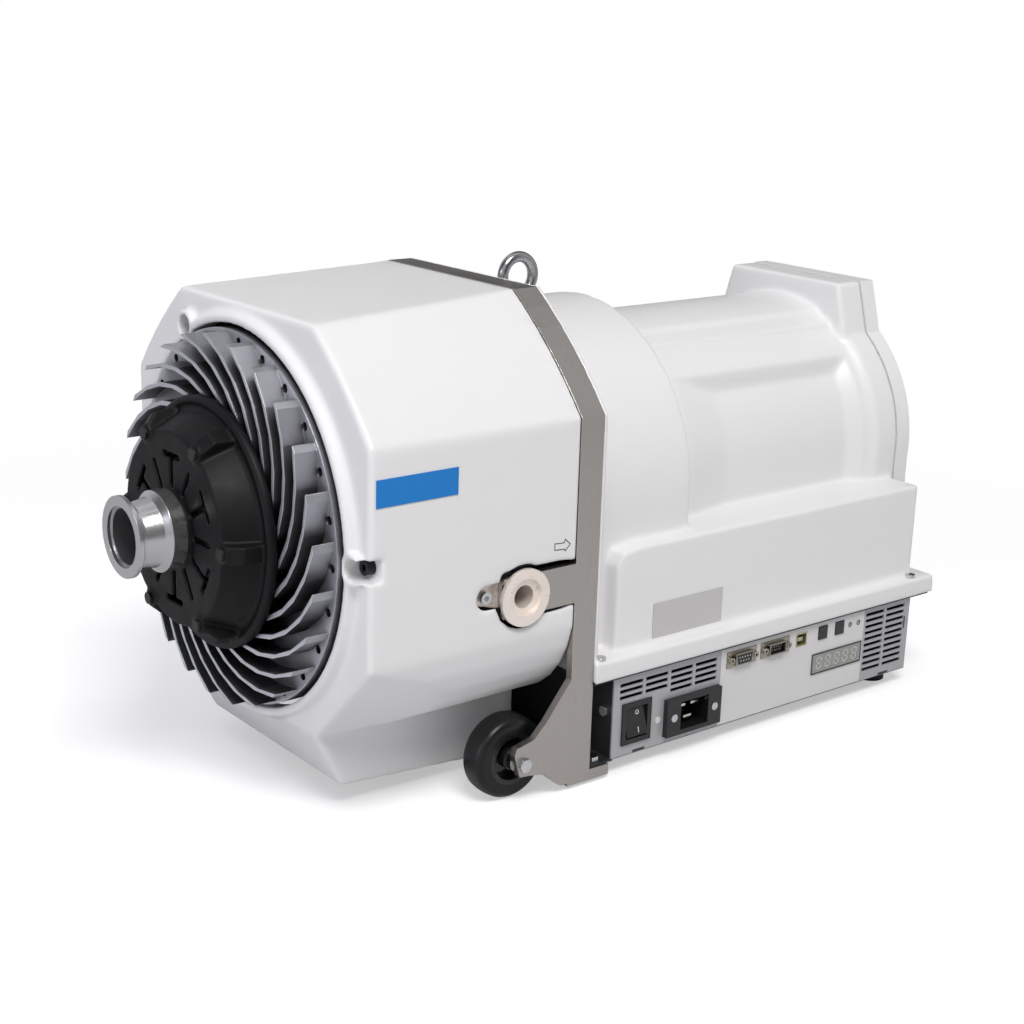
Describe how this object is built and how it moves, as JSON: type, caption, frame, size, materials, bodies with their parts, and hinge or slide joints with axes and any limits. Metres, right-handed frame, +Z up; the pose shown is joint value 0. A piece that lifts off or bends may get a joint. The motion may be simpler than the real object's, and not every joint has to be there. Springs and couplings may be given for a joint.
{
  "type": "dry scroll vacuum pump",
  "caption": "Dry scroll vacuum pump with a moulded shroud, finned head, clamp-flange inlet and exhaust, a steel band frame on wheels, a motor cowl and a control box.",
  "frame": {"origin": "centre of the footprint box on the floor, under the shaft", "axes": "+X along the shaft from the inlet to the fan end, +Z up, control panel and exhaust face -Y"},
  "size_m": [0.65, 0.31, 0.356],
  "materials": {
    "cover_white": "moulded white polyurethane skin, fine texture",
    "cast_alu": "shot-blasted casting",
    "turned_alu": "fine turned",
    "stainless": "satin brushed stainless",
    "zinc": "bright zinc-plated",
    "black_steel": "black oxide",
    "black_plastic": "moulded, fine grain",
    "seal_white": "filled PTFE",
    "seal_rubber": "matte elastomer",
    "steel": "ground steel",
    "iron": "as cast",
    "bronze": "sintered bronze",
    "motor_paint": "satin paint",
    "lamination": "laminated steel",
    "copper": "enamelled copper wire",
    "box_dark": "satin powder coat",
    "panel_grey": "satin paint",
    "label_film": "printed film",
    "board": "solder resist",
    "can": "sleeved can",
    "gloss_black": "moulded, satin gloss",
    "socket_metal": "tinned steel",
    "led_amber": "tinted lens",
    "display": "filter window, off",
    "tyre": "solid rubber",
    "blue_plate": "plain printed film",
    "foot_rubber": "moulded rubber"
  },
  "bodies": {
    "root": {"front_shroud": "cover_white", "shroud_screws": "black_steel", "inlet_port": "turned_alu", "front_guard": "black_plastic", "guard_screws": "black_steel", "outboard_housing": "cast_alu", "fixed_tip_seal": "seal_white", "housing_seal": "seal_rubber", "pump_frame": "cast_alu", "housing_bolts": "zinc", "main_bearings": "steel", "idler_bearings": "steel", "motor_housing": "motor_paint", "stator_core": "lamination", "stator_windings": "copper", "end_bell": "motor_paint", "motor_bolts": "zinc", "rear_cowl": "cover_white", "cowl_screws": "zinc", "rear_grille": "cover_white", "control_box": "box_dark", "io_panel": "panel_grey", "panel_label": "label_film", "inverter_board": "board", "capacitors": "can", "switch_bezel": "gloss_black", "mains_inlet": "gloss_black", "inlet_blades": "socket_metal", "panel_screws": "zinc", "remote_socket": "socket_metal", "analog_plug": "socket_metal", "usb_socket": "socket_metal", "status_leds": "led_amber", "display_window": "display", "strap_frame": "stainless", "foot_bolts": "zinc", "exhaust_port": "turned_alu", "exhaust_screw": "zinc", "lifting_eye": "zinc", "axle_bolts": "zinc", "rear_feet": "foot_rubber", "name_plate": "blue_plate"},
    "shaft": {"crankshaft": "steel", "counterweight": "iron", "rotor_core": "lamination", "cooling_fan": "black_plastic"},
    "orbiter": {"orbiting_scroll": "cast_alu", "orbiting_tip_seal": "seal_white", "crankpin_bearing": "steel", "orbiter_bushes": "bronze"},
    "idler_1": {"idler_crank_1": "steel"},
    "idler_2": {"idler_crank_2": "steel"},
    "idler_3": {"idler_crank_3": "steel"},
    "left_wheel": {"wheel_tyre_left": "tyre", "wheel_hub_left": "black_plastic"},
    "right_wheel": {"wheel_tyre_right": "tyre", "wheel_hub_right": "black_plastic"},
    "rocker": {"power_rocker": "gloss_black"},
    "up_key": {"up_button": "gloss_black"},
    "down_key": {"down_button": "gloss_black"}
  },
  "joints": [
    {"name": "shaft_spin", "type": "hinge", "parent": "root", "child": "shaft", "pos_m": [-0.1, 0, 0.191], "axis": [1, 0, 0], "continuous": true},
    {"name": "orbit_counterspin", "type": "hinge", "parent": "shaft", "child": "orbiter", "pos_m": [-0.17, 0, 0.1975], "axis": [1, 0, 0], "continuous": true},
    {"name": "idler_1_spin", "type": "hinge", "parent": "root", "child": "idler_1", "pos_m": [-0.176, 0, 0.275], "axis": [1, 0, 0], "continuous": true},
    {"name": "idler_2_spin", "type": "hinge", "parent": "root", "child": "idler_2", "pos_m": [-0.176, 0.07275, 0.149], "axis": [1, 0, 0], "continuous": true},
    {"name": "idler_3_spin", "type": "hinge", "parent": "root", "child": "idler_3", "pos_m": [-0.176, -0.07275, 0.149], "axis": [1, 0, 0], "continuous": true},
    {"name": "left_wheel_spin", "type": "hinge", "parent": "root", "child": "left_wheel", "pos_m": [-0.105, -0.129, 0.03], "axis": [0, 1, 0], "continuous": true},
    {"name": "right_wheel_spin", "type": "hinge", "parent": "root", "child": "right_wheel", "pos_m": [-0.105, 0.129, 0.03], "axis": [0, 1, 0], "continuous": true},
    {"name": "power_rock", "type": "hinge", "parent": "root", "child": "rocker", "pos_m": [-0.00059, -0.146, 0.03657], "axis": [1, 0, 0], "range_deg": [0, 16]},
    {"name": "up_press", "type": "slide", "parent": "root", "child": "up_key", "axis": [0, 1, 0], "range_m": [0, 0.001], "stiffness_N_per_m": 800, "springref_m": -0.001},
    {"name": "down_press", "type": "slide", "parent": "root", "child": "down_key", "axis": [0, 1, 0], "range_m": [0, 0.001], "stiffness_N_per_m": 800, "springref_m": -0.001}
  ],
  "couplings": [
    {"joint": "orbit_counterspin", "follows": "shaft_spin", "ratio": -1},
    {"joint": "idler_1_spin", "follows": "shaft_spin", "ratio": 1},
    {"joint": "idler_2_spin", "follows": "shaft_spin", "ratio": 1},
    {"joint": "idler_3_spin", "follows": "shaft_spin", "ratio": 1}
  ]
}
